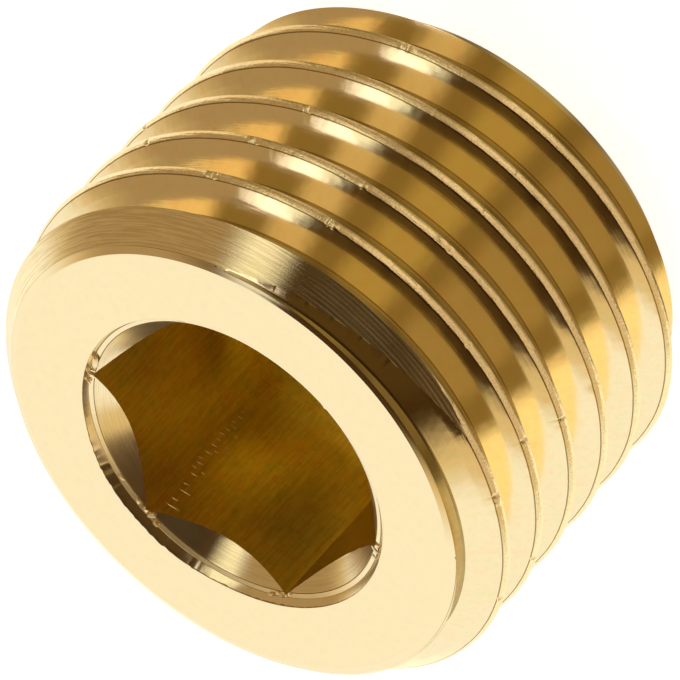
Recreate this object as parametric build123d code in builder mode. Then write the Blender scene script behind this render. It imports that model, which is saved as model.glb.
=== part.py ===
from build123d import *
import math
import os

# Hex socket plug: a short brass screw plug with a tapered outer thread and a blind
# hexagon socket in its wide end.  It stands on its small end, on Z = 0, with the
# axis on +Z and the socket facing up.  Lengths are millimetres, angles degrees.

# --- driving dimensions: the whole plug ---
plug_length = 10.0              # small end to socket face
face_diameter = 12.18           # flat ring round the socket
face_rim_width = 0.20           # narrow bevel round that ring, measured outwards
face_rim_drop = 0.07            # and how far it falls
end_diameter = 11.72            # flat disc at the small end
end_chamfer_angle = 45.0        # chamfers run from these two faces out to the crests
face_chamfer_angle = 45.0

# --- driving dimensions: tapered thread, right hand ---
gauge_diameter = 14.0           # across the crests at the gauge plane
gauge_height = 5.0              # gauge plane above the small end
taper = 1.0 / 16.0              # growth in diameter for each millimetre of height
pitch = 1.5
flank_angle = 60.0              # between the two flanks of one groove
crest_flat = 0.17               # width of the flat that tops the thread
thread_depth = 0.92             # crest to root, square to the axis
crest_rise = 0.726              # lowest whole crest on the +X side, above the small end

# --- driving dimensions: socket ---
across_flats = 7.0
socket_depth = 5.3              # face to the flat shoulder at the hexagon's foot
mouth_diameter = 8.56           # where the mouth meets the face
mouth_rim_width = 0.13          # narrow bevel at the very edge of the mouth
mouth_rim_angle = 62.0          # half angles, measured from the axis
mouth_angle = 45.0
drill_diameter = 5.6            # shallow drill point below the hexagon
drill_point_angle = 118.0


# --- sizes that follow ---
half_taper = taper / 2
cone_angle = math.atan(half_taper)
flank_slope = math.tan(math.radians(flank_angle / 2))
root_flat = pitch - crest_flat - 2 * thread_depth * flank_slope
face_radius = face_diameter / 2
end_radius = end_diameter / 2
shoulder_radius = face_radius + face_rim_width
shoulder_height = plug_length - face_rim_drop

# one pitch of the thread, as (rise above the crest's middle, depth below the crests)
thread_profile = [
    (-crest_flat / 2, 0),
    (crest_flat / 2, 0),
    ((pitch - root_flat) / 2, thread_depth),
    ((pitch + root_flat) / 2, thread_depth),
    (pitch - crest_flat / 2, 0),
]

# the thread starts a pitch or more below the small end and stops as far above the face
turns_below = math.ceil(crest_rise / pitch) + 1
first_crest = crest_rise - turns_below * pitch
turn_count = math.ceil((plug_length - first_crest) / pitch) + 1


def crest_radius(height):
    """Radius of the cone that the crests lie on."""
    return gauge_diameter / 2 + (height - gauge_height) * half_taper


def thread_point(turn, rise, sunk):
    """A point of the thread's profile on the +X side."""
    height = first_crest + turn * pitch + rise
    return Vector(crest_radius(height) - sunk, 0, height)


def thread_line(turn, rise, sunk):
    """One turn of the helix that a point of the profile draws."""
    start = thread_point(turn, rise, sunk)
    with BuildLine() as line:
        Helix(
            pitch=pitch / math.cos(cone_angle),
            height=pitch,
            radius=start.X,
            center=(0, 0, start.Z),
            cone_angle=math.degrees(cone_angle),
        )
    return line.edge()


def turn_faces(turn):
    """Crest, flanks and root of one turn, each ruled between two helices."""
    lines = [thread_line(turn, rise, sunk) for rise, sunk in thread_profile]
    return [Face.make_surface_from_curves(low, high) for low, high in zip(lines, lines[1:])]


def closing_faces(turn):
    """The step across one pitch and the ramp in to the axis that close the thread's end."""
    points = [thread_point(turn, rise, sunk) for rise, sunk in thread_profile]
    axis_low = Vector(0, 0, points[0].Z)
    axis_high = Vector(0, 0, points[-1].Z)
    step = Face(Wire.make_polygon([axis_low] + points + [axis_high]))
    axis_line = Edge.make_line(axis_low, axis_high)
    ramp = Face.make_surface_from_curves(axis_line, thread_line(turn, *thread_profile[0]))
    return [step, ramp]


# --- threaded rod, longer than the plug at both ends ---
thread_faces = closing_faces(0) + closing_faces(turn_count)
for turn in range(turn_count):
    thread_faces += turn_faces(turn)
threaded_rod = Solid(Shell(thread_faces))

# --- turned blank: end faces and chamfer cones, which run out past the crests ---
outside_radius = crest_radius(plug_length) + pitch
end_cone_height = (outside_radius - end_radius) / math.tan(math.radians(end_chamfer_angle))
face_cone_height = (outside_radius - shoulder_radius) / math.tan(math.radians(face_chamfer_angle))

with BuildPart() as blank:
    with BuildSketch(Plane.XZ):
        with BuildLine():
            Polyline(
                (0, 0),
                (end_radius, 0),
                (outside_radius, end_cone_height),
                (outside_radius, shoulder_height - face_cone_height),
                (shoulder_radius, shoulder_height),
                (face_radius, plug_length),
                (0, plug_length),
                close=True,
            )
        make_face()
    revolve(axis=Axis.Z)

# --- socket ---
mouth_radius = mouth_diameter / 2
cone_radius = mouth_radius - mouth_rim_width
cone_top = plug_length - mouth_rim_width / math.tan(math.radians(mouth_rim_angle))
cone_tip = cone_top - cone_radius / math.tan(math.radians(mouth_angle))
socket_floor = plug_length - socket_depth
drill_radius = drill_diameter / 2
drill_tip = socket_floor - drill_radius / math.tan(math.radians(drill_point_angle / 2))

with BuildPart() as hex_plug:
    add(blank.part)
    add(threaded_rod, mode=Mode.INTERSECT)

    # hexagon, two of its flats square to Y
    with BuildSketch(Plane.XY.offset(plug_length)):
        RegularPolygon(radius=across_flats / 2, side_count=6, major_radius=False)
    extrude(amount=-socket_depth, mode=Mode.SUBTRACT)

    # coned mouth with its narrow rim bevel
    with BuildSketch(Plane.XZ):
        with BuildLine():
            Polyline(
                (0, plug_length),
                (mouth_radius, plug_length),
                (cone_radius, cone_top),
                (0, cone_tip),
                close=True,
            )
        make_face()
    revolve(axis=Axis.Z, mode=Mode.SUBTRACT)

    # drill point below the hexagon's foot
    with BuildSketch(Plane.XZ):
        with BuildLine():
            Polyline((0, socket_floor), (drill_radius, socket_floor), (0, drill_tip), close=True)
        make_face()
    revolve(axis=Axis.Z, mode=Mode.SUBTRACT)

hex_plug.part.label = "hex_plug"
os.makedirs("parts", exist_ok=True)
export_step(hex_plug.part, "parts/hex_plug.step")
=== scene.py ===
# A hex socket plug in turned brass, dressed over its fixed CAD frame, and a small studio
# for it.  Lengths are metres and angles radians, unless a name says otherwise.
import math

import bmesh
import bpy
import numpy as np
from bpy.props import FloatProperty, FloatVectorProperty, IntProperty, PointerProperty
from mathutils import Matrix, Vector, noise


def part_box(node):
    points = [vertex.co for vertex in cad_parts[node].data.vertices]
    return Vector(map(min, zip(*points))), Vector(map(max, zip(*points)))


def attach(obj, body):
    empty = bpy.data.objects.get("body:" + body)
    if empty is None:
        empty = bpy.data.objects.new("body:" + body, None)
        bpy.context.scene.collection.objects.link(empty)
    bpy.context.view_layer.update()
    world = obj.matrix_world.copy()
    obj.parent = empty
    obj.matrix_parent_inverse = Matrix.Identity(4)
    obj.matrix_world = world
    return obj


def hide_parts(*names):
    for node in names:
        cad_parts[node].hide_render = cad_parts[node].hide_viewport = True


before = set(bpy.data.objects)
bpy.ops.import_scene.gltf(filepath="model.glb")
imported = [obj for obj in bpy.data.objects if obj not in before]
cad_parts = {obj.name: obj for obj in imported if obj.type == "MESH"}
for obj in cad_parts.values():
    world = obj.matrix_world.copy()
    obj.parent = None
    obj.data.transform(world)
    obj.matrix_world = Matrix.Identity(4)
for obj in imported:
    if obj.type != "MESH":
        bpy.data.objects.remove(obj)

bl_info = {
    "name": "Hex Socket Plug",
    "version": (1, 0, 0),
    "blender": (4, 5, 0),
    "location": "3D View > Sidebar > Plug",
    "description": "Builds a turned brass screw plug with a hexagon socket, and its studio",
    "category": "Add Mesh",
}

MM = 0.001
NODE = "hex_plug"
CAD_LOW, CAD_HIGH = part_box(NODE)
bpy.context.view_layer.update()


def length(name, description, default):
    """A length property, in metres."""
    return FloatProperty(name=name, description=description, default=default, unit="LENGTH", precision=5)


def angle(name, description, degrees):
    """An angle property, given in degrees."""
    return FloatProperty(name=name, description=description, default=math.radians(degrees), unit="ROTATION")


def colour(name, description, default):
    """A colour property, in linear light."""
    return FloatVectorProperty(name=name, description=description, default=default, subtype="COLOR", size=3)


def share(name, description, default):
    """A number from nought to one."""
    return FloatProperty(name=name, description=description, default=default, subtype="FACTOR", min=0, max=1)


# --- what a user may change ---


class PlugSizes(bpy.types.PropertyGroup):
    """Sizes of the plug"""

    plug_length: length("Length", "From the small end to the socket face", CAD_HIGH.z - CAD_LOW.z)
    face_diameter: length("Face", "Diameter of the flat ring round the socket", 12.18 * MM)
    face_rim_width: length("Face rim width", "Narrow bevel round the face, along the radius", 0.20 * MM)
    face_rim_drop: length("Face rim drop", "How far that bevel falls", 0.07 * MM)
    end_diameter: length("Small end", "Diameter of the flat disc at the small end", 11.72 * MM)
    groove_pitch: length("Turning pitch", "From one turning groove to the next on the chamfers", 0.072 * MM)
    groove_depth: length("Turning depth", "Depth of those grooves", 0.004 * MM)
    gauge_diameter: length("Gauge diameter", "Across the crests at the gauge plane", 14.0 * MM)
    gauge_height: length("Gauge height", "Gauge plane above the small end", 5.0 * MM)
    taper: FloatProperty(name="Taper", description="Growth in diameter with height", default=1 / 16)
    pitch: length("Pitch", "From one crest to the next", 1.5 * MM)
    flank_angle: angle("Thread angle", "Between the two flanks of a groove", 60)
    worn_flank: angle("Worn flank", "Flank's outer part, from square to the axis", 35)
    worn_reach: length("Worn reach", "How far along the plug the worn part of the flank goes", 0.195 * MM)
    crest_flat: length("Crest", "Width of the flat that tops the thread", 0.165 * MM)
    thread_depth: length("Thread depth", "From crest to root", 0.92 * MM)
    crest_tilt: angle("Crest tilt", "Lean of the worn crest towards the face", 29)
    crest_bulge: length("Crest bulge", "How far the worn crest stands out along its middle", 0.01 * MM)
    crest_drop: length("Crest drop", "How far the worn crest has moved towards the small end", 0.04 * MM)
    crest_rise: length("First crest", "Lowest whole crest on the +X side", 0.726 * MM)
    crest_round: length("Crest edge radius", "Rounding of the crest's lower edge", 0.02 * MM)
    crest_fall: length("Crest's fall", "Radius that wear has given the crest's upper edge", 0.14 * MM)
    crest_wear: length("Crest wear", "How uneven the crest's top is", 0.008 * MM)
    root_round: length("Root radius", "Rounding at the foot of the groove", 0.07 * MM)
    across_flats: length("Across flats", "Hexagon, flat to flat", 7.0 * MM)
    socket_depth: length("Socket depth", "From the face to the hexagon's foot", 5.3 * MM)
    broach_marks: length("Broach marks", "Depth of the lengthwise marks on the hexagon's walls", 0.005 * MM)
    mouth_diameter: length("Mouth", "Where the socket's mouth meets the face", 8.56 * MM)
    mouth_cone: length("Mouth cone", "Diameter of the cone's upper edge", 7.98 * MM)
    mouth_step: length("Mouth step", "Fall from the face to the cone's upper edge", 0.2 * MM)
    mouth_ring: length("Mouth ring", "Width of the narrow ring round the cone", 0.13 * MM)
    ring_tilt: angle("Ring tilt", "How far the narrow ring leans in", 16)
    mouth_chips: length("Mouth chips", "How ragged the mouth's outer edge is", 0.05 * MM)
    mouth_angle: angle("Mouth angle", "The coned mouth's half angle", 45)
    drill_diameter: length("Drill", "Drill point below the hexagon", 5.6 * MM)
    drill_point_angle: angle("Drill point", "Full angle of the drill point", 118)
    columns: IntProperty(name="Columns", description="Steps round the plug", default=360)


# --- mesh: the plug is a set of columns, each the plug's profile at one azimuth ---


def crest_radius(size, height):
    """Radius of the cone that the crests lie on."""
    return size.gauge_diameter / 2 + (height - size.gauge_height) * size.taper / 2


def rounded(before, corner, after, radius, steps):
    """Points of the arc that rounds a corner of a profile."""
    corner = np.array(corner)
    to_before = np.array(before) - corner
    to_after = np.array(after) - corner
    to_before /= np.linalg.norm(to_before)
    to_after /= np.linalg.norm(to_after)
    middle = to_before + to_after
    middle /= np.linalg.norm(middle)
    half = math.acos(float(to_before @ middle))
    centre = corner + middle * radius / math.sin(half)
    start = corner + to_before * radius / math.tan(half) - centre
    end = corner + to_after * radius / math.tan(half) - centre
    first = math.atan2(start[1], start[0])
    turn = (math.atan2(end[1], end[0]) - first + math.pi) % (2 * math.pi) - math.pi
    angles = [first + turn * step / steps for step in range(steps + 1)]
    return [(centre[0] + radius * math.cos(a), centre[1] + radius * math.sin(a)) for a in angles]


def held(low, high, places):
    """Points that keep the straight stretch between two arcs flat up to its ends."""
    start, end = np.array(low[-1]), np.array(high[0])
    return [tuple(start + (end - start) * place) for place in places]


# the first rows of a pitch go over the crest and its two edges, and later ones round the root
CREST_ROWS = 9
CREST_TOP = 6
ROOT_ROWS = range(13, 19)


def thread_rows(size):
    """One pitch of the thread, as (rise above the crest's middle, depth below the crests)."""
    half_crest = size.crest_flat / 2
    crest_low, crest_high = -half_crest - size.crest_drop, half_crest - size.crest_drop
    crest_sink = size.crest_flat * math.tan(size.crest_tilt)
    slope = math.tan(size.flank_angle / 2)
    low_root = half_crest + (size.thread_depth - crest_sink) * slope
    high_root = size.pitch - half_crest - size.thread_depth * slope
    bend = (crest_high + size.worn_reach, crest_sink + size.worn_reach / math.tan(size.worn_flank))
    corners = [
        (high_root - size.pitch, size.thread_depth),
        (crest_low, 0),
        (crest_high, crest_sink),
        bend,
        (low_root, size.thread_depth),
        (high_root, size.thread_depth),
        (size.pitch + crest_low, 0),
    ]
    bends = [(0, size.crest_round, 2), (1, size.crest_fall, 4)]
    bends += [(3, size.root_round, 2), (4, size.root_round, 2)]
    arcs = [rounded(*corners[first : first + 3], radius, steps) for first, radius, steps in bends]
    crest = arcs[0] + [(-size.crest_drop, crest_sink / 2 - size.crest_bulge)] + arcs[1]
    upper_flank = held(arcs[1], [bend], (0.1, 0.9)) + held([bend], arcs[2], (0.05, 0.94))
    lower_flank = held(arcs[3], [corners[6]], (0.08, 0.92))
    return crest + upper_flank + arcs[2] + arcs[3] + lower_flank


def thread_surface(row):
    """Surface of the stretch just below a row of the thread."""
    if row in ROOT_ROWS:
        return "root"
    # the crest's upper edge is a surface of its own so that it takes painted shade
    if 0 < row < CREST_ROWS:
        return "crest" if row <= CREST_TOP else "edge"
    return "thread"


CHAMFER_REACH = 0.86 * MM  # the grooved part of the chamfer, along the radius
END_REACH = 1.2 * MM  # the small end's chamfer, along the radius
END_STEPS = 8
GROOVE_PLACES = (0, 0.3, 0.7)  # a turning groove's edge and two lower corners, as shares of its pitch
RIM_LIP = 0.015 * MM  # the small ridge between the chamfer and the face's bevel


def turned_ends(size):
    """The turned blank's profile, as (height, radius, surface just below), from the small end up."""
    top = size.plug_length
    face = size.face_diameter / 2
    shoulder = face + size.face_rim_width
    shoulder_height = top - size.face_rim_drop
    end = size.end_diameter / 2
    rises = [END_REACH * step / END_STEPS for step in range(END_STEPS + 1)]
    points = [(rise, end + rise, "small_end") for rise in rises]
    far = crest_radius(size, top) + size.pitch
    points += [(points[-1][0] + far - points[-1][1], far, "small_end")]
    points += [(shoulder_height - (far - shoulder), far, "chamfer")]
    sunk = size.groove_depth * math.sqrt(0.5)  # the grooves are cut square to a slope of 45 degrees
    for groove in range(round(CHAMFER_REACH / size.groove_pitch), 0, -1):
        for part, depth in zip(GROOVE_PLACES, (0, sunk, sunk)):
            fall = size.groove_pitch * (groove - part)
            points.append((shoulder_height - fall - depth, shoulder + fall - depth, "chamfer"))
    # the "crease" stretch between the chamfer and the face's bevel takes painted shade
    points += [
        (shoulder_height - RIM_LIP / 2, shoulder, "chamfer"),
        (shoulder_height + RIM_LIP / 2, shoulder - RIM_LIP / 2, "crease"),
        (shoulder_height + 1.1 * RIM_LIP, shoulder - 2.5 * RIM_LIP, "rim"),
        (shoulder_height + 1.9 * RIM_LIP, shoulder - 4.5 * RIM_LIP, "rim"),
        (top - RIM_LIP, face + 3 * RIM_LIP, "rim"),
        (top, face, "rim"),
    ]
    return points


def unevenness(azimuth, radius, height, spacing):
    """Smooth random number about nought for a place on the plug, the same on every run."""
    place = Vector((radius * math.cos(azimuth), radius * math.sin(azimuth), height))
    return noise.noise(place / spacing)


GRAIN_SPACING = 0.12 * MM  # between the fine dents in a worn crest
WAVE_SPACING = 0.6 * MM  # and between its broad ones


def crest_loss(size, azimuth, height):
    """How much the worn crest has lost at a place: a fine grain over broad waves."""
    radius = size.gauge_diameter / 2
    grain = max(0, unevenness(azimuth, radius, height, GRAIN_SPACING))
    waves = max(0, unevenness(azimuth, radius, height, WAVE_SPACING))
    return size.crest_wear * (grain + waves)


def outside_column(size, azimuth, rows, ends, first_turn, turns):
    """Thread and turned ends at one azimuth, whichever lies deeper, from the face down."""
    start = size.crest_rise + (first_turn + azimuth / (2 * math.pi)) * size.pitch
    thread = []
    for turn in range(turns):
        for row, (rise, sunk) in enumerate(rows):
            height = start + turn * size.pitch + rise
            if row < CREST_ROWS:
                sunk += crest_loss(size, azimuth, height)
            radius = crest_radius(size, height) - sunk
            thread.append((height, radius, thread_surface(row), ("thread", turn, row)))
    thread_z, thread_r = np.array([point[:2] for point in thread]).T
    end_z, end_r = np.array([point[:2] for point in ends]).T
    points = []
    for (height, radius, surface, tag), other in zip(thread, np.interp(thread_z, end_z, end_r)):
        if 0 <= height <= size.plug_length:
            points.append((height, radius, tag, surface, radius - other))
    for index, other in enumerate(np.interp(end_z, thread_z, thread_r)):
        height, radius, surface = ends[index]
        points.append((height, radius, ("turned", index), surface, other - radius))
    points.sort(key=lambda point: -point[0])
    column = []
    for point, following in zip(points, points[1:] + [None]):
        height, radius, tag, surface, over = point
        if (tag[0] == "turned") == (over > 0):
            column.append((radius, height, tag, surface))
        if following and (over > 0) != (following[4] > 0):
            span = over / (over - following[4])
            cut = height + (following[0] - height) * span
            if over > 0:
                below = thread[min(int(np.searchsorted(thread_z, cut)), len(thread) - 1)][2]
            else:
                below = ends[int(np.searchsorted(end_z, cut))][2]
            turn = round((cut - start) / size.pitch)
            column.append((float(np.interp(cut, end_z, end_r)), cut, ("cut", turn, over > 0), below))
    return column


def hexagon_radius(size, azimuth):
    """Distance from the axis to the hexagon's wall.  Its corners lie on the X axis."""
    sector = math.pi / 3
    return size.across_flats / 2 / math.cos(azimuth % sector - sector / 2)


# The mouth's outer edge is gouged out at one azimuth and drawn in at another, in degrees from +X.
# Shifts and roughnesses are in multiples of mouth_chips.
GOUGE_AZIMUTH = 59
GOUGE_REACH = 30
GOUGE_SHIFT = 2.2
GOUGE_ROUGHNESS = 0.8
NARROW_AZIMUTH = -15
NARROW_SHIFT = 1.8
CHIP_ROUGHNESS = 0.1
CHIP_SPACING = 0.08 * MM
TEAR_SPACING = 0.1 * MM  # between the tears in the lip, on the +Y side
LIP = 0.012 * MM  # the small steps between the cone, the ring and the edge


def mouth_profile(size, azimuth):
    """The mouth outside the cone, as (radius, height, surface just after), from the cone up and out."""
    top = size.plug_length
    edge = size.mouth_diameter / 2
    gouge = math.exp(-(((math.degrees(azimuth) - GOUGE_AZIMUTH) / GOUGE_REACH) ** 4))
    narrow = (0.5 + 0.5 * math.cos(azimuth - math.radians(NARROW_AZIMUTH))) ** 3
    chips = unevenness(azimuth, edge, top, CHIP_SPACING) * (CHIP_ROUGHNESS + GOUGE_ROUGHNESS * gouge)
    tears = 1.4 + 2 * unevenness(azimuth, edge, 0, TEAR_SPACING)
    torn = LIP * (0.5 + max(0, math.sin(azimuth)) * tears)
    outer = edge + size.mouth_chips * (chips + GOUGE_SHIFT * gouge - NARROW_SHIFT * narrow)
    cone = size.mouth_cone / 2
    cone_top = top - size.mouth_step
    ring = cone + size.mouth_ring
    ring_top = cone_top + size.mouth_ring * math.tan(size.ring_tilt)
    # the "crease" stretches, the narrow steps round the cone and the ring, take painted shade
    return [
        (cone, cone_top, "crease"),
        (cone + LIP, cone_top - LIP / 2, "crease"),
        (cone + 1.6 * LIP, cone_top + 0.5 * LIP, "shelf"),
        (ring, ring_top, "crease"),
        (ring + 1.5 * LIP, ring_top - 0.2 * LIP, "shelf"),
        (ring + 2 * LIP, ring_top + 0.6 * LIP, "shelf"),
        (outer - torn, top - torn, "crease"),
        (outer, top, "face"),
    ]


def drill_tip(size):
    """Height of the drill point's tip, on the axis."""
    floor = size.plug_length - size.socket_depth
    return floor - size.drill_diameter / 2 / math.tan(size.drill_point_angle / 2)


DRILL_STEPS = 4
FLOOR_STEPS = 2
WALL_STEPS = 10
CONE_STEPS = 14
FACE_STEPS = 3
BROACH_SPACING = 0.14 * MM
BROACH_STRETCH = 12  # the broach marks are drawn out along the socket
CONE_GAP = 0.012 * MM  # least room between the hexagon's wall and a point of the cone
RING_GAP = 0.006 * MM  # and of the ring round it


def inside_column(size, azimuth):
    """Drill point, socket, coned mouth and face at one azimuth, from the axis up and out."""
    top = size.plug_length
    floor = top - size.socket_depth
    drill = size.drill_diameter / 2
    tip = drill_tip(size)
    flat = size.across_flats / 2
    wall = hexagon_radius(size, azimuth)
    cone = size.mouth_cone / 2
    cone_top = top - size.mouth_step
    column = []
    for step in range(1, DRILL_STEPS):
        height = tip + (floor - tip) * step / DRILL_STEPS
        column.append((drill * step / DRILL_STEPS, height, ("drill", step), "bore"))
    for step in range(FLOOR_STEPS):
        column.append((drill + (wall - drill) * step / FLOOR_STEPS, floor, ("floor", step), "bore"))
    column.append((wall, floor, ("floor", FLOOR_STEPS), "socket"))
    wall_top = cone_top - (cone - wall) / math.tan(size.mouth_angle)
    for step in range(1, WALL_STEPS + 1):
        height = floor + (wall_top - floor) * step / WALL_STEPS
        mark = size.broach_marks * unevenness(azimuth, wall, height / BROACH_STRETCH, BROACH_SPACING)
        column.append((wall + mark, height, ("wall", step), "mouth" if step == WALL_STEPS else "socket"))
    for step in range(1, CONE_STEPS):
        radius = flat + (cone - flat) * step / CONE_STEPS
        if radius > wall + CONE_GAP:
            height = cone_top - (cone - radius) / math.tan(size.mouth_angle)
            sunk = size.groove_depth / 3 * (step % 2)
            column.append((radius + sunk, height - sunk, ("mouth", step), "mouth"))
    for step, (radius, height, surface) in enumerate(mouth_profile(size, azimuth)):
        if radius > wall + RING_GAP:
            column.append((radius, height, ("ring", step), surface))
    edge = size.mouth_diameter / 2
    face = size.face_diameter / 2
    for step in range(1, FACE_STEPS):
        column.append((edge + (face - edge) * step / FACE_STEPS, top, ("face", step), "face"))
    return column


def match(left, start, tag, height):
    """Place of the next point in a column that has the same tag at about the same height, or 0."""
    near = 0.05 * MM
    places = range(start, len(left))
    return next((at for at in places if left[at][0] == tag and abs(left[at][2] - height) < near), 0)


def zip_columns(left, right, faces, surfaces):
    """Joins neighbouring columns of (tag, vertex, height, surface) with faces, matching what it can."""
    i = j = 0
    while i < len(left) - 1 or j < len(right) - 1:
        place = len(left)
        if j < len(right) - 1:
            place = match(left, i + 1, right[j + 1][0], right[j + 1][2])
        if place == i + 1:
            corners = [left[i][1], left[i + 1][1], right[j + 1][1], right[j][1]]
            surface = left[i][3]
            i += 1
            j += 1
        elif place <= i or i == len(left) - 1:
            corners = [left[i][1], right[j + 1][1], right[j][1]]
            surface = right[j][3]
            j += 1
        else:
            corners = [left[i][1], left[i + 1][1], right[j][1]]
            surface = left[i][3]
            i += 1
        corners = list(dict.fromkeys(corners))
        if len(corners) > 2:
            faces.append(corners)
            surfaces.append(surface)


# Nicks in the crests' upper edge: azimuth from +X in degrees, turn of the thread, then width and
# depth in millimetres.  A raised burr has a negative depth.
NICKS = [
    (-78.5, 1, 0.09, 0.035),
    (-77.0, 1, 0.08, -0.02),
    (-72.0, 3, 0.10, 0.035),
    (-70.6, 3, 0.07, -0.02),
    (-66.4, 5, 0.12, 0.035),
    (-64.7, 5, 0.08, -0.025),
    (-66.0, 4, 0.14, -0.02),
    (-67.9, 4, 0.12, 0.035),
    (-93.6, 5, 0.12, -0.03),
    (-92.1, 5, 0.07, 0.03),
    (-92.3, 4, 0.12, -0.02),
    (-151.3, 5, 0.08, 0.04),
    (-155.3, 6, 0.09, 0.045),
    (-157.2, 6, 0.08, -0.02),
    (176.1, 5, 0.10, 0.045),
    (176.2, 4, 0.08, 0.04),
    (-155.4, 4, 0.07, 0.04),
    (-26.9, 3, 0.10, 0.035),
    (-128.0, 5, 0.07, 0.02),
    (-113.0, 4, 0.08, 0.02),
    (-40.0, 4, 0.09, 0.03),
    (64.0, 4, 0.10, 0.03),
    (118.0, 2, 0.10, 0.03),
    (20.0, 5, 0.10, 0.03),
]


def column_azimuths(size):
    """Azimuths of the columns: evenly spaced, and closer together at each nick."""
    kept = [2 * math.pi * step / size.columns for step in range(size.columns)]
    fine = []
    for azimuth, _, width, _ in NICKS:
        step = width * MM / size.gauge_diameter
        fine += [(math.radians(azimuth) + step * place) % (2 * math.pi) for place in (-2, -1, 0, 1, 2)]
    apart = math.radians(0.08)
    for azimuth in sorted(fine):
        if all(abs(azimuth - other) > apart for other in kept):
            kept.append(azimuth)
    return sorted(kept)


NICK_HEIGHT = 0.065 * MM


def nicked(size, vertices):
    """Sinks or raises the crests at each nick."""
    places = np.array(vertices)
    radius = np.hypot(places[:, 0], places[:, 1])
    azimuth = np.degrees(np.arctan2(places[:, 1], places[:, 0]))
    outside = radius > size.face_diameter / 2
    upper_edge = size.crest_flat / 4 - size.crest_drop
    for middle, turn, width, depth in NICKS:
        height = size.crest_rise + (middle / 360 + turn) * size.pitch + upper_edge
        turned = np.radians((azimuth - middle + 180) % 360 - 180) * radius
        across = turned / (width * MM)
        along = (places[:, 2] - height) / NICK_HEIGHT
        fade = np.clip(1 - across**2 - along**2, 0, 1) * outside
        places[:, :2] *= (1 - depth * MM * fade / np.maximum(radius, MM))[:, None]
    return places.tolist()


def plug_mesh(size):
    """The whole plug as one closed mesh.  Returns its vertices, faces and each face's surface."""
    rows = thread_rows(size)
    ends = turned_ends(size)
    first_turn = -2
    turns = math.ceil(size.plug_length / size.pitch) + 4
    end = size.end_diameter / 2
    end_rings = [(end * step / 3, 0.0, ("end", step), "small_end") for step in range(2, 0, -1)]
    tip = drill_tip(size)
    vertices = [(0, 0, tip), (0, 0, 0)]
    columns = []
    for azimuth in column_azimuths(size):
        points = inside_column(size, azimuth)
        points += outside_column(size, azimuth, rows, ends, first_turn, turns)
        points += end_rings
        column = [(("tip",), 0, tip, "bore")]
        for radius, height, tag, surface in points:
            column.append((tag, len(vertices), height, surface))
            vertices.append((radius * math.cos(azimuth), radius * math.sin(azimuth), height))
        column.append((("end", 0), 1, 0, "small_end"))
        columns.append(column)
    faces, surfaces = [], []
    for left, right in zip(columns, columns[1:]):
        zip_columns(left, right, faces, surfaces)
    # a full turn up, each turn of the thread has become the one above it
    closing = [
        ((tag[0], tag[1] - 1, *tag[2:]) if tag[0] in ("thread", "cut") else tag, *rest)
        for tag, *rest in columns[0]
    ]
    zip_columns(columns[-1], closing, faces, surfaces)
    return nicked(size, vertices), faces, surfaces


# --- finishes ---


class PlugFinish(bpy.types.PropertyGroup):
    """The look of the brass, surface by surface"""

    brass: colour("Brass", "Clean cut brass", (0.955, 0.785, 0.44))
    warm_brass: colour("Warm brass", "Redder patches", (0.97, 0.69, 0.32))
    pale_brass: colour("Olive brass", "Greener patches", (0.84, 0.78, 0.34))
    dull_brass: colour("Dull brass", "Darker patches", (0.55, 0.40, 0.12))
    # painted shade: this dark brass stands in for the shade in the narrow steps at the mouth and face rim,
    # along the crest's upper edge, and in the root's stains
    crease_brass: colour("Crease", "Shaded brass in narrow steps", (0.36, 0.24, 0.08))
    # painted shade: darker brass at the foot of the groove, where shade falls
    root_brass: colour("Root brass", "Brass at the foot of the groove", (0.46, 0.33, 0.11))
    socket_brass: colour("Socket brass", "Dull brass inside the hexagon", (0.86, 0.68, 0.17))
    socket_warm: colour("Warm socket", "Redder patches in the socket", (0.86, 0.50, 0.10))
    socket_pale: colour("Olive socket", "Greener patches in the socket", (0.62, 0.60, 0.13))
    socket_dull: colour("Dull socket", "Darker patches in the socket", (0.50, 0.34, 0.05))
    patchiness: share("Patchiness", "How much the brass's colour varies", 0.5)
    thread_polish: share("Thread roughness", "Flanks of the thread", 0.11)
    crest_polish: share("Crest roughness", "Worn top of the thread", 0.21)
    chamfer_polish: share("Chamfer roughness", "Turned chamfer at the face", 0.17)
    rim_polish: share("Rim roughness", "Narrow bevel round the face", 0.08)
    face_polish: share("Face roughness", "Turned face", 0.12)
    mouth_polish: share("Mouth roughness", "Coned mouth", 0.16)
    socket_polish: share("Socket roughness", "Hexagon's walls", 0.3)
    mark_depth: length("Mark depth", "Depth of the finest tool marks", 0.0006 * MM)


def node(tree, kind, inputs=None, **settings):
    """Adds a node with its settings, and links or fills its inputs."""
    made = tree.nodes.new(kind)
    for name, value in settings.items():
        setattr(made, name, value)
    for name, value in (inputs or {}).items():
        plug_in(tree, value, made.inputs[name])
    return made


def plug_in(tree, value, socket):
    """Links a value to a socket if it is a socket itself, and fills it in otherwise."""
    if isinstance(value, bpy.types.NodeSocket):
        tree.links.new(value, socket)
    else:
        socket.default_value = value


def maths(tree, operation, *values):
    """A Math node's result."""
    made = tree.nodes.new("ShaderNodeMath")
    made.operation = operation
    for value, socket in zip(values, made.inputs):
        plug_in(tree, value, socket)
    return made.outputs[0]


def mixed(tree, factor, low, high):
    """Mix of two colours."""
    made = tree.nodes.new("ShaderNodeMix")
    made.data_type = "RGBA"
    # a Mix node has an A, a B and a Result for each type of value, and these are the colours
    plug_in(tree, factor, made.inputs["Factor"])
    plug_in(tree, low, made.inputs[6])
    plug_in(tree, high, made.inputs[7])
    return made.outputs[2]


def noisy(tree, place, scale, detail, roughness=0.5):
    """A smooth random value about a half, which changes from place to place."""
    settings = {"Vector": place, "Scale": scale, "Detail": detail, "Roughness": roughness}
    return node(tree, "ShaderNodeTexNoise", settings).outputs["Fac"]


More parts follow.
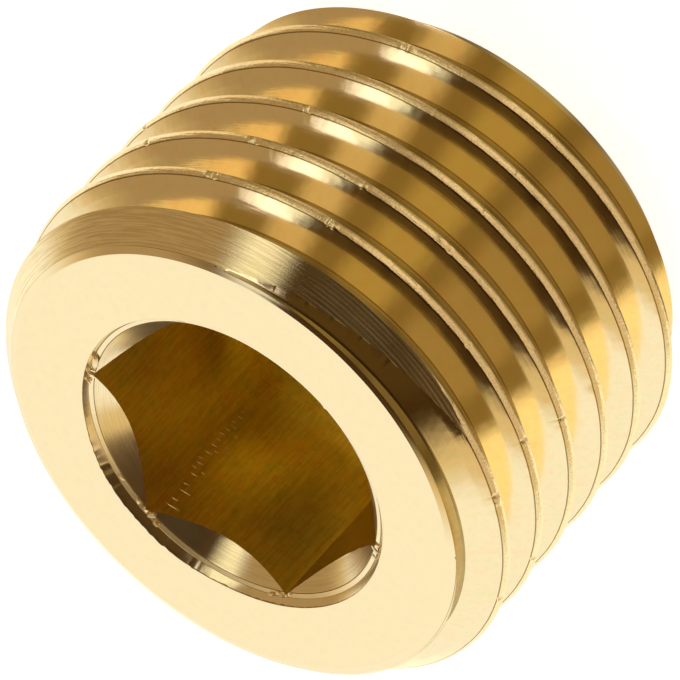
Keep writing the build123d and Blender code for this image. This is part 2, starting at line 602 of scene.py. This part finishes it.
def ranged(tree, value, low, high, start=0.0, end=1.0):
    """A value carried from one range to another, with soft ends."""
    limits = {"Value": value, "From Min": low, "From Max": high, "To Min": start, "To Max": end}
    return node(tree, "ShaderNodeMapRange", limits, interpolation_type="SMOOTHSTEP").outputs["Result"]


def rgba(value, scale=1.0):
    """A colour with its alpha."""
    return (*[part * scale for part in value], 1.0)


SOCKETS = {"colour": "NodeSocketColor", "number": "NodeSocketFloat"}


def group(name, inputs, outputs):
    """A new shader node group with named sockets.  Returns its tree, inputs and output node."""
    tree = bpy.data.node_groups.new(name, "ShaderNodeTree")
    for side, sockets in (("INPUT", inputs), ("OUTPUT", outputs)):
        for label, (kind, default) in sockets.items():
            made = tree.interface.new_socket(label, in_out=side, socket_type=SOCKETS[kind])
            made.default_value = default
    return tree, tree.nodes.new("NodeGroupInput").outputs, tree.nodes.new("NodeGroupOutput").inputs


TINTS = ("Brass", "Warm", "Pale", "Dull")


def patchy_group():
    """Brass whose colour drifts in patches towards a redder and a greener brass, with dull stains."""
    inputs = {label: ("colour", rgba((1, 1, 1))) for label in TINTS}
    inputs["Patchiness"] = ("number", 0.5)
    inputs["Stains"] = ("number", 0.2)
    inputs["Patches per Metre"] = ("number", 1200)
    tree, given, put_out = group("patchy_brass", inputs, {"Colour": ("colour", rgba((1, 1, 1)))})
    place = node(tree, "ShaderNodeTexCoord").outputs["Object"]
    patches = noisy(tree, place, given["Patches per Metre"], 3, 0.6)
    finer = maths(tree, "MULTIPLY", given["Patches per Metre"], 2.3)
    stains = noisy(tree, place, finer, 3, 0.7)
    tint = given["Brass"]
    for label, mask, amount in (
        ("Warm", ranged(tree, patches, 0.48, 0.68), "Patchiness"),
        ("Pale", ranged(tree, patches, 0.52, 0.32), "Patchiness"),
        ("Dull", ranged(tree, stains, 0.45, 0.7), "Stains"),
    ):
        tint = mixed(tree, maths(tree, "MULTIPLY", mask, given[amount]), tint, given[label])
    tree.links.new(tint, put_out["Colour"])
    return tree


# Scales of the tool marks' noise, per metre.
BREAKS_PER_METRE = 900  # along a turning mark
GRAIN_PER_METRE = 22000
WAVES_PER_METRE = 2600
BROACH_PER_METRE = 14000


def marks_group():
    """Fine marks that run round the plug, broken up along their length, over a grain and waves."""
    inputs = {
        "Radial": ("number", 1),
        "Axial": ("number", 0),
        "Spacing": ("number", 0.05 * MM),
        "Grain": ("number", 0.3),
        "Waviness": ("number", 0),
    }
    tree, given, put_out = group("turning_marks", inputs, {"Height": ("number", 0), "Lines": ("number", 0)})
    place = node(tree, "ShaderNodeTexCoord").outputs["Object"]
    parts = node(tree, "ShaderNodeSeparateXYZ", {"Vector": place}).outputs
    x_squared = maths(tree, "MULTIPLY", parts["X"], parts["X"])
    y_squared = maths(tree, "MULTIPLY", parts["Y"], parts["Y"])
    radius = maths(tree, "SQRT", maths(tree, "ADD", x_squared, y_squared))
    outwards = maths(tree, "MULTIPLY", radius, given["Radial"])
    upwards = maths(tree, "MULTIPLY", parts["Z"], given["Axial"])
    drawn_out = {
        "X": maths(tree, "DIVIDE", maths(tree, "ADD", outwards, upwards), given["Spacing"]),
        "Y": maths(tree, "MULTIPLY", parts["X"], BREAKS_PER_METRE),
        "Z": maths(tree, "MULTIPLY", parts["Y"], BREAKS_PER_METRE),
    }
    lines = noisy(tree, node(tree, "ShaderNodeCombineXYZ", drawn_out).outputs[0], 1, 1)
    grain = maths(tree, "MULTIPLY", noisy(tree, place, GRAIN_PER_METRE, 2), given["Grain"])
    waves = maths(tree, "MULTIPLY", noisy(tree, place, WAVES_PER_METRE, 1), given["Waviness"])
    height = maths(tree, "ADD", maths(tree, "ADD", lines, grain), waves)
    tree.links.new(height, put_out["Height"])
    # the Lines output is high in the marks' grooves, where it darkens the colour as painted shade
    tree.links.new(ranged(tree, lines, 0.62, 0.38), put_out["Lines"])
    return tree


def turning_marks(tree, marks, grain, waviness):
    """Height and shade of marks round the plug, which follow the given shares of radius and height."""
    lines = node(tree, "ShaderNodeGroup", node_tree=bpy.data.node_groups["turning_marks"])
    lines.inputs["Radial"].default_value, lines.inputs["Axial"].default_value = marks
    lines.inputs["Grain"].default_value = grain
    lines.inputs["Waviness"].default_value = waviness
    return lines.outputs["Height"], lines.outputs["Lines"]


def broach_marks(tree):
    """Height and shade of marks along the socket."""
    place = node(tree, "ShaderNodeTexCoord").outputs["Object"]
    drawn_out = node(tree, "ShaderNodeMapping", {"Vector": place, "Scale": (1, 1, 0.07)}).outputs[0]
    marks = noisy(tree, drawn_out, BROACH_PER_METRE, 3)
    return marks, ranged(tree, marks, 0.6, 0.4)


def patchy_colour(tree, look, tints, patches, patch_size):
    """Colour of the brass with its patches and stains."""
    patchy = node(tree, "ShaderNodeGroup", node_tree=bpy.data.node_groups["patchy_brass"])
    for label, tint in zip(TINTS, tints):
        patchy.inputs[label].default_value = rgba(tint)
    patchy.inputs["Patchiness"].default_value = patches[0] * look.patchiness
    patchy.inputs["Stains"].default_value = patches[1]
    patchy.inputs["Patches per Metre"].default_value = 1 / (patch_size * MM)
    return patchy.outputs["Colour"]


def brass(
    name, look, tints, roughness, patches=None, patch_size=0.8, turned=0.0, marks=(1, 0), depth=1.0,
    grain=0.3, streaks=0.0, waviness=0.0,
):
    """Brass with patches and tool marks, its gloss drawn out across the turning marks.

    Patches are shares of the coloured patches and of the stains, with their size in millimetres, and
    without them the first tint goes all over.  Marks are the shares of radius and height that the
    turning marks follow, and None gives marks along the socket instead.
    """
    material = bpy.data.materials.new(name)
    material.use_nodes = True
    tree = material.node_tree
    shader = tree.nodes["Principled BSDF"]
    shader.inputs["Metallic"].default_value = 1
    shader.inputs["Roughness"].default_value = roughness
    height, lines = turning_marks(tree, marks, grain, waviness) if marks else broach_marks(tree)
    if patches:
        # painted shade: the marks' lines darken the colour towards the last tint in their grooves, by the
        # streaks share
        shade = maths(tree, "MULTIPLY", lines, streaks)
        tint = mixed(tree, shade, patchy_colour(tree, look, tints, patches, patch_size), rgba(tints[-1]))
        tree.links.new(tint, shader.inputs["Base Color"])
    else:
        shader.inputs["Base Color"].default_value = rgba(tints[0])
    bump = node(tree, "ShaderNodeBump", {"Height": height, "Distance": look.mark_depth * depth})
    tree.links.new(bump.outputs["Normal"], shader.inputs["Normal"])
    if turned:
        shader.inputs["Anisotropic"].default_value = turned
        shader.inputs["Anisotropic Rotation"].default_value = 0.25
        lay = node(tree, "ShaderNodeTangent", direction_type="RADIAL", axis="Z")
        tree.links.new(lay.outputs["Tangent"], shader.inputs["Tangent"])
    return material


def clean_tints(look):
    """The tints of freshly cut brass."""
    return look.brass, look.warm_brass, look.pale_brass, look.dull_brass


def finishes(look):
    """Every surface's material."""
    patchy_group()
    marks_group()
    clean = clean_tints(look)
    dull = (look.socket_brass, look.socket_warm, look.socket_pale, look.socket_dull)
    # painted shade: the root is darker brass, with stains of the creases' dark brass
    root = (look.root_brass, look.warm_brass, look.pale_brass, look.crease_brass)
    # painted shade: the creases and the crest's upper edge get dark brass for the shade in narrow steps
    crease_shade = (look.crease_brass,)
    flank = {"patches": (0.6, 0.06), "patch_size": 0.45, "turned": 0.92, "depth": 1.5, "waviness": 3}
    foot = {"patches": (0.15, 0.3), "patch_size": 0.7, "turned": 0.5, "depth": 2, "grain": 1}
    worn = {"patches": (0.6, 0.5), "patch_size": 0.12, "depth": 8, "grain": 1, "streaks": 0.15}
    bevel = {"patches": (0.3, 0.1), "turned": 1, "depth": 2}
    cut = {"marks": (1, -1), "grain": 0.5, "streaks": 0.4}
    cone = {"marks": (1, 1), "turned": 1, "depth": 2, "streaks": 0.2}
    broached = {"marks": None, "depth": 6, "streaks": 0.3}
    return {
        "thread": brass("thread_brass", look, clean, look.thread_polish, marks=(1, -0.5), **flank),
        "root": brass("root_brass", look, root, look.crest_polish, marks=(1, -0.5), **foot),
        "crest": brass("crest_brass", look, clean, look.crest_polish, marks=(0, 1), **worn),
        "edge": brass("edge_brass", look, crease_shade, look.crest_polish, marks=(0, 1), depth=5, grain=1),
        "chamfer": brass("chamfer_brass", look, clean, look.chamfer_polish, **bevel, **cut),
        "rim": brass("rim_brass", look, clean, look.rim_polish, (0.1, 0), turned=1),
        "face": brass("face_brass", look, clean, look.face_polish, (0.1, 0.04), 0.5, depth=0.5),
        "crease": brass("crease_brass", look, crease_shade, look.socket_polish, depth=3, grain=1),
        "shelf": brass("shelf_brass", look, clean, look.mouth_polish, (0.2, 0.1), 0.3, turned=1),
        "mouth": brass("mouth_brass", look, clean, look.mouth_polish, (0.2, 0.1), **cone),
        "socket": brass("socket_brass", look, dull, look.socket_polish, (1, 0.25), 0.5, **broached),
        "bore": brass("bore_brass", look, dull, look.socket_polish, (1, 0.5), depth=4),
        "small_end": brass("end_brass", look, clean, look.chamfer_polish, marks=(1, 1), streaks=0.3, **bevel),
    }


SHARP_ANGLE = math.radians(17)  # faces that meet at more than this keep a sharp edge


class PLUG_OT_body(bpy.types.Operator):
    """Build the plug's one turned and threaded body"""

    bl_idname = "plug.body"
    bl_label = "Plug body"

    def execute(self, context):
        size = context.scene.plug_sizes
        vertices, faces, surfaces = plug_mesh(size)
        mesh = bpy.data.meshes.new("turned_plug")
        mesh.from_pydata(vertices, [], faces)
        mesh.update()
        materials = finishes(context.scene.plug_finish)
        slots = {surface: slot for slot, surface in enumerate(materials)}
        for material in materials.values():
            mesh.materials.append(material)
        mesh.polygons.foreach_set("material_index", [slots[surface] for surface in surfaces])
        if mesh.validate(verbose=True):
            raise RuntimeError("the plug's mesh had faults")
        plug = bpy.data.objects.new("turned_plug", mesh)
        context.scene.collection.objects.link(plug)
        mesh.shade_smooth()
        mesh.set_sharp_from_angle(angle=SHARP_ANGLE)
        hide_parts(NODE)
        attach(plug, "root")
        return {"FINISHED"}


# --- burrs: slivers of brass that the tools left standing ---

# Flakes drawn across a hexagon's wall beside its corner: distance from the corner along the wall,
# height and length, in millimetres.  The corner is the one at 60 degrees from +X.
FLAKES = [
    (0.46, 9.35, 0.40),
    (0.36, 9.12, 0.18),
    (0.43, 8.79, 0.34),
    (0.30, 8.56, 0.16),
    (0.30, 8.20, 0.20),
    (0.16, 8.00, 0.16),
    (0.42, 8.03, 0.12),
    (0.20, 7.82, 0.22),
    (0.12, 7.66, 0.16),
    (0.18, 7.42, 0.20),
    (0.30, 7.28, 0.14),
    (0.16, 7.14, 0.20),
    (0.45, 7.02, 0.12),
    (0.14, 6.92, 0.16),
    (0.10, 6.72, 0.18),
    (0.42, 6.60, 0.12),
    (0.14, 6.52, 0.18),
    (0.24, 6.38, 0.14),
    (0.12, 6.24, 0.16),
    (0.16, 6.02, 0.18),
    (0.12, 5.84, 0.14),
]
# Lumps at the mouth: azimuth from +X in degrees, then radius, fall below the face, length, width
# and height in millimetres, and the angle that the lump is turned from going round the plug.
LUMPS = [
    (-7.0, 4.07, 0.135, 0.52, 0.22, 0.05, 8),
    (-1.0, 4.10, 0.10, 0.24, 0.07, 0.05, 75),
    (3.5, 4.10, 0.12, 0.16, 0.08, 0.05, 30),
    (117.0, 4.06, 0.15, 0.26, 0.09, 0.06, -35),
    (121.5, 4.03, 0.17, 0.22, 0.09, 0.06, 50),
    (113.5, 4.11, 0.13, 0.18, 0.08, 0.05, 15),
    (178.0, 4.06, 0.13, 0.24, 0.08, 0.05, 60),
    (174.5, 4.10, 0.11, 0.18, 0.08, 0.05, 35),
    (62.5, 4.03, 0.15, 0.30, 0.12, 0.09, 60),
    (56.0, 4.06, 0.15, 0.24, 0.10, 0.07, -30),
    (66.0, 4.10, 0.12, 0.20, 0.08, 0.06, 10),
    (46.0, 4.05, 0.17, 0.22, 0.09, 0.06, 20),
]


DENTS_PER_BALL = 2.3  # how closely a sliver's dents lie
SLIVER_SPREAD = 0.2 * MM  # slivers this far apart have different dents
FLAKE_WIDTH = 0.035 * MM
FLAKE_HEIGHT = 0.03 * MM


def sliver(mesh, centre, along, out, extents, raggedness):
    """Adds one ragged lump: a small ball stretched to (length, width, height) and roughened."""
    ball = bmesh.ops.create_icosphere(mesh, subdivisions=2, radius=0.5)["verts"]
    sideways = out.cross(along)
    span, width, rise = extents
    for vertex in ball:
        place = vertex.co.copy()
        place *= 1 + raggedness * noise.noise(place * DENTS_PER_BALL + centre / SLIVER_SPREAD)
        vertex.co = centre + along * place.x * span + sideways * place.y * width + out * place.z * rise


def flake(mesh, size, offset, height, span):
    """A flake on the hexagon's wall that faces -Y, beside its corner."""
    corner = size.across_flats / 2 * math.tan(math.radians(30))
    centre = Vector((corner - offset * MM, size.across_flats / 2, height * MM))
    extents = (span * MM, FLAKE_WIDTH, FLAKE_HEIGHT)
    sliver(mesh, centre, Vector((1, 0, 0)), Vector((0, -1, 0)), extents, raggedness=0.2)


def lump(mesh, size, azimuth, radius, fall, span, width, rise, turn):
    """A lump at the mouth, lying across or round it."""
    around = Matrix.Rotation(math.radians(azimuth), 3, "Z")
    centre = around @ Vector((radius * MM, 0, size.plug_length - fall * MM))
    along = around @ Matrix.Rotation(math.radians(turn), 3, "Z") @ Vector((0, 1, 0))
    extents = (span * MM, width * MM, rise * MM)
    sliver(mesh, centre, along, Vector((0, 0, 1)), extents, raggedness=0.7)


class PLUG_OT_burrs(bpy.types.Operator):
    """Build the burrs round the mouth and down the socket's corner"""

    bl_idname = "plug.burrs"
    bl_label = "Burrs"

    def execute(self, context):
        size = context.scene.plug_sizes
        made = bmesh.new()
        for entry in FLAKES:
            flake(made, size, *entry)
        for entry in LUMPS:
            lump(made, size, *entry)
        mesh = bpy.data.meshes.new("mouth_burrs")
        made.to_mesh(mesh)
        made.free()
        mesh.shade_smooth()
        look = context.scene.plug_finish
        torn = {"patches": (0.6, 0.1), "patch_size": 0.1, "depth": 2, "grain": 1}
        mesh.materials.append(brass("burr_brass", look, clean_tints(look), look.socket_polish, **torn))
        burrs = bpy.data.objects.new("mouth_burrs", mesh)
        context.scene.collection.objects.link(burrs)
        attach(burrs, "root")
        return {"FINISHED"}


# --- studio ---


class StudioLook(bpy.types.PropertyGroup):
    """Floor, surroundings and camera"""

    backdrop: colour("Backdrop", "White background, as the camera sees it", (1.0, 1.0, 1.0))
    wall: colour("Wall", "White wall behind the plug", (1.04, 1.04, 1.1))
    wall_edge: colour("Wall edge", "Where the white wall fades into the room", (0.78, 0.62, 0.38))
    strip: colour("Strip light", "Tall soft light beside the camera", (1.15, 1.12, 1.0))
    strip_top: colour("Strip light's top", "Where it leans over the plug", (1.65, 1.55, 1.65))
    room_dark: colour("Dark room", "The ceiling", (0.05, 0.024, 0.006))
    room_above: colour("Room above", "The ceiling over the camera", (0.085, 0.047, 0.012))
    room_darkest: colour("Darkest room", "Behind the camera", (0.02, 0.012, 0.006))
    room_warm: colour("Warm side", "Beyond the strip light", (0.41, 0.29, 0.165))
    room_low: colour("Low room", "Below the camera", (0.74, 0.58, 0.44))
    room_side: colour("Low side", "Below the strip light", (0.42, 0.29, 0.15))
    room_spot: colour("Lit patch", "A lit patch below the camera", (0.98, 0.8, 0.64))
    floor_colour: colour("Floor", "Plain pale floor", (0.9, 0.9, 0.9))
    floor_glow: share("Floor glow", "What keeps the floor white in the picture", 0.9)
    # painted reflections: the floor glows with these colours to mirrored rays only, dark in front for its
    # shade and lighter where it is lit
    floor_low: colour("Floor in front", "What the metal sees there", (0.165, 0.13, 0.06))
    floor_mid: colour("Floor at the side", "What the metal sees there", (0.29, 0.235, 0.14))
    floor_lit: colour("Lit floor", "What the metal sees there", (0.38, 0.315, 0.15))
    floor_side: colour("Floor by the strip light", "What the metal sees there", (0.6, 0.52, 0.42))
    floor_warm: colour("Warm floor", "What the metal sees there", (0.94, 0.76, 0.57))
    floor_radius: length("Floor radius", "The floor reaches this far", 400 * MM)
    # painted shade: the floor's colour as the metal sees it in front, darker for the shade there
    floor_reflected_shade: colour("Floor paint", "The floor's paint, as the metal sees it in front", (0.2, 0.16, 0.1))
    camera_azimuth: angle("Camera azimuth", "From the -Y side, towards +X", -19.74)
    camera_elevation: angle("Camera elevation", "Above the floor", 36.148)
    camera_roll: angle("Camera roll", "Clockwise turn of the picture's top", 137.264)
    camera_distance: length("Camera distance", "From the aim point", 293.152 * MM)
    camera_aim: FloatVectorProperty(
        name="Aim",
        description="What the camera looks at",
        default=(0.095 * MM, 0.062 * MM, 5.124 * MM),
        unit="LENGTH",
    )
    camera_lens: FloatProperty(name="Lens", description="Focal length in millimetres", default=653.378)


def direction(azimuth, elevation):
    """Unit vector for an azimuth from the -Y side towards +X, and an elevation."""
    flat = math.cos(elevation)
    return Vector((math.sin(azimuth) * flat, -math.cos(azimuth) * flat, math.sin(elevation)))


def soft_band(tree, value, low, high, edge):
    """Mask of where a value lies between two limits, with soft edges."""
    rise = ranged(tree, value, low - edge, low + edge)
    fall = ranged(tree, value, high - edge, high + edge, 1, 0)
    return maths(tree, "MULTIPLY", rise, fall)


def sector(tree, place, azimuths, edge):
    """Mask of what lies between two azimuths, with soft edges.  Angles are degrees."""
    middle = math.radians(sum(azimuths) / 2)
    half = math.radians(abs(azimuths[1] - azimuths[0]) / 2)
    turned = node(tree, "ShaderNodeVectorRotate", {"Vector": place, "Angle": -middle}, rotation_type="Z_AXIS")
    parts = node(tree, "ShaderNodeSeparateXYZ", {"Vector": turned.outputs[0]}).outputs
    sideways = maths(tree, "ARCTAN2", parts["Y"], parts["X"])
    return soft_band(tree, sideways, -half, half, math.radians(edge))


def zone(tree, where, height, azimuths, elevations, edges):
    """Mask of a soft-edged field of the surroundings.  Limits are degrees, and the height radians."""
    low, high = (math.radians(value) for value in elevations)
    upwards = soft_band(tree, height, low, high, math.radians(edges[1]))
    return maths(tree, "MULTIPLY", sector(tree, where, azimuths, edges[0]), upwards)


# What the metal sees round it, each laid over those before: colour, azimuths from +X, elevations,
# and softness of the edges sideways and upwards, in degrees.
ZONES = [
    ("room_above", (-190, -50), (66, 100), (8, 6)),
    ("room_low", (-200, -84), (-90, 34), (8, 6)),
    ("room_side", (-84, -34), (-90, 28), (8, 6)),
    ("room_spot", (-120, -96), (-90, 31), (6, 6)),
    ("room_darkest", (-142, -82), (44, 62), (8, 6)),
    ("room_warm", (-46, 52), (-90, 60), (8, 8)),
    ("strip", (-71, -49), (20, 51), (4, 6)),
    ("strip", (-57, -33), (51, 64), (3, 4)),
    ("strip_top", (-41.5, -22), (55, 78), (1.5, 3)),
    ("wall_edge", (20, 166), (-90, 38), (9, 6)),
    ("wall_edge", (48, 166), (-90, 61), (6, 6)),
    ("wall", (27, 147), (-90, 33), (7, 6)),
    ("wall", (54, 147), (-90, 52), (6, 6)),
    ("wall", (32, 44), (63, 72), (3, 3)),
]


def surroundings(look):
    """The world: white to the camera, and a dark room with a white wall to everything else."""
    world = bpy.data.worlds.new("studio")
    world.use_nodes = True
    tree = world.node_tree
    tree.nodes.clear()
    where = node(tree, "ShaderNodeTexCoord").outputs["Generated"]
    height = maths(tree, "ARCSINE", node(tree, "ShaderNodeSeparateXYZ", {"Vector": where}).outputs["Z"])
    room = rgba(look.room_dark)
    for name, *limits in ZONES:
        room = mixed(tree, zone(tree, where, height, *limits), room, rgba(getattr(look, name)))
    path = node(tree, "ShaderNodeLightPath").outputs
    seen = mixed(tree, path["Is Camera Ray"], room, rgba(look.backdrop))
    background = node(tree, "ShaderNodeBackground", {"Color": seen})
    output = node(tree, "ShaderNodeOutputWorld")
    tree.links.new(background.outputs[0], output.inputs["Surface"])
    return world


# Painted reflections: what the metal alone sees of the floor, a glow that is dark in front where the floor's
# shade falls and lighter where it is lit, between azimuths in degrees from +X.
FLOOR_SECTORS = [
    ("floor_mid", (-160, -124)),
    ("floor_lit", (-113, -92)),
    ("floor_side", (-77, -60)),
    ("floor_warm", (-36, 0)),
]
FLOOR_EDGE = 5
WHITE_SECTOR = (-13, 183)  # where the metal sees the floor as white as the camera does
WHITE_EDGE = 6


def floor_material(look):
    """Pale floor that keeps the plug's shadow and stays white behind it, and glows to mirrored rays with
    painted reflections of its shade and light in front.
    """
    material = bpy.data.materials.new("pale_floor")
    material.use_nodes = True
    tree = material.node_tree
    tree.nodes.clear()
    place = node(tree, "ShaderNodeTexCoord").outputs["Object"]
    behind = sector(tree, place, WHITE_SECTOR, WHITE_EDGE)
    room = rgba(look.floor_low)
    for name, azimuths in FLOOR_SECTORS:
        room = mixed(tree, sector(tree, place, azimuths, FLOOR_EDGE), room, rgba(getattr(look, name)))
    path = node(tree, "ShaderNodeLightPath").outputs
    mirrored = maths(tree, "MAXIMUM", path["Is Glossy Ray"], path["Is Transmission Ray"])
    white = maths(tree, "MAXIMUM", path["Is Camera Ray"], maths(tree, "MULTIPLY", mirrored, behind))
    # painted reflections: mirrored rays see the floor glow with these colours
    reflected_glow = mixed(tree, mirrored, rgba((0, 0, 0)), room)
    glow = mixed(tree, white, reflected_glow, rgba(look.floor_colour, look.floor_glow))
    light = node(tree, "ShaderNodeEmission", {"Color": glow})
    painted = mixed(tree, white, rgba(look.floor_reflected_shade), rgba(look.floor_colour))
    paint = node(tree, "ShaderNodeBsdfDiffuse", {"Color": painted})
    both = node(tree, "ShaderNodeAddShader")
    tree.links.new(paint.outputs[0], both.inputs[0])
    tree.links.new(light.outputs[0], both.inputs[1])
    output = node(tree, "ShaderNodeOutputMaterial")
    tree.links.new(both.outputs[0], output.inputs["Surface"])
    return material


def floor_disc(look):
    """A round floor at the height that the plug stands on."""
    steps = 96
    rim = [2 * math.pi * step / steps for step in range(steps)]
    vertices = [(look.floor_radius * math.cos(turn), look.floor_radius * math.sin(turn), 0) for turn in rim]
    mesh = bpy.data.meshes.new("floor")
    mesh.from_pydata(vertices, [], [list(range(steps))])
    mesh.materials.append(floor_material(look))
    return bpy.data.objects.new("floor", mesh)


def studio_camera(look):
    """Camera on its direction from the aim point, turned about its own line of sight."""
    data = bpy.data.cameras.new("camera")
    data.lens = look.camera_lens
    data.sensor_width = 36
    data.clip_start = 10 * MM
    data.clip_end = 10
    camera = bpy.data.objects.new("camera", data)
    back = direction(look.camera_azimuth, look.camera_elevation)
    camera.location = Vector(look.camera_aim) + back * look.camera_distance
    camera.rotation_mode = "QUATERNION"
    upright = (-back).to_track_quat("-Z", "Y")
    camera.rotation_quaternion = upright @ Matrix.Rotation(-look.camera_roll, 3, "Z").to_quaternion()
    return camera


class PLUG_OT_studio(bpy.types.Operator):
    """Build the floor, the surroundings and the camera"""

    bl_idname = "plug.studio"
    bl_label = "Studio"

    def execute(self, context):
        scene = context.scene
        look = scene.plug_studio
        floor = floor_disc(look)
        camera = studio_camera(look)
        for made in (floor, camera):
            scene.collection.objects.link(made)
        scene.camera = camera
        scene.world = surroundings(look)
        scene.view_settings.view_transform = "Standard"
        return {"FINISHED"}


class PLUG_PT_parts(bpy.types.Panel):
    """Everything that makes up the plug and its studio"""

    bl_label = "Hex Socket Plug"
    bl_space_type = "VIEW_3D"
    bl_region_type = "UI"
    bl_category = "Plug"

    def draw(self, context):
        for title, operators, settings in (
            ("Plug", ("plug.body", "plug.burrs"), (context.scene.plug_sizes, context.scene.plug_finish)),
            ("Studio", ("plug.studio",), (context.scene.plug_studio,)),
        ):
            box = self.layout.box()
            box.label(text=title)
            for operator in operators:
                box.operator(operator)
            for values in settings:
                for name in type(values).__annotations__:
                    box.prop(values, name)


CLASSES = [PlugSizes, PlugFinish, StudioLook, PLUG_OT_body, PLUG_OT_burrs, PLUG_OT_studio, PLUG_PT_parts]


def register():
    for cls in CLASSES:
        bpy.utils.register_class(cls)
    bpy.types.Scene.plug_sizes = PointerProperty(type=PlugSizes)
    bpy.types.Scene.plug_finish = PointerProperty(type=PlugFinish)
    bpy.types.Scene.plug_studio = PointerProperty(type=StudioLook)


def unregister():
    del bpy.types.Scene.plug_studio
    del bpy.types.Scene.plug_finish
    del bpy.types.Scene.plug_sizes
    for cls in reversed(CLASSES):
        bpy.utils.unregister_class(cls)


def main():
    register()
    bpy.ops.plug.body()
    bpy.ops.plug.burrs()
    bpy.ops.plug.studio()


if __name__ == "__main__":
    main()
